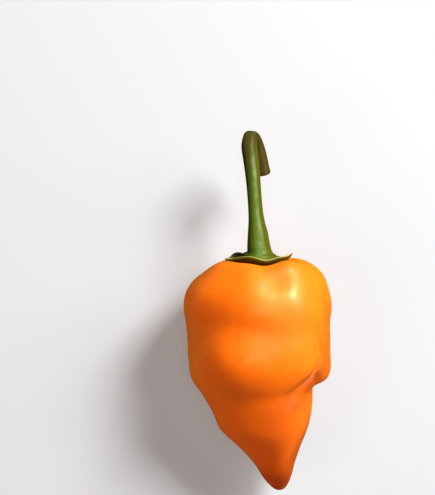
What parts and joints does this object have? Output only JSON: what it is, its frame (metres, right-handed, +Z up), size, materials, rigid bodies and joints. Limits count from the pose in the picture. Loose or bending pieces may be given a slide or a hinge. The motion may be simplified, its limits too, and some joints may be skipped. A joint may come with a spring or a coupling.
{
  "type": "cambuci pepper",
  "caption": "Orange lantern-shaped pepper lying on its side, with lobed shoulders, a folded waist, a pointed tip, a green calyx cap and a hooked green stalk.",
  "frame": {"origin": "middle of the bounding box at the height of the ground that the pod lies on", "axes": "+X to the right across the pod seen from above with the stalk away from the viewer, +Y from the tip towards the stalk, +Z up"},
  "size_m": [0.0374, 0.0906, 0.0339],
  "materials": {
    "pod_skin": "thin waxy fruit skin, glossy, orange",
    "stalk_green": "fresh green stem, satin, slightly ribbed, with a pale dry calyx margin"
  },
  "bodies": {
    "root": {"pod": "pod_skin", "stalk_with_calyx": "stalk_green"}
  },
  "joints": []
}
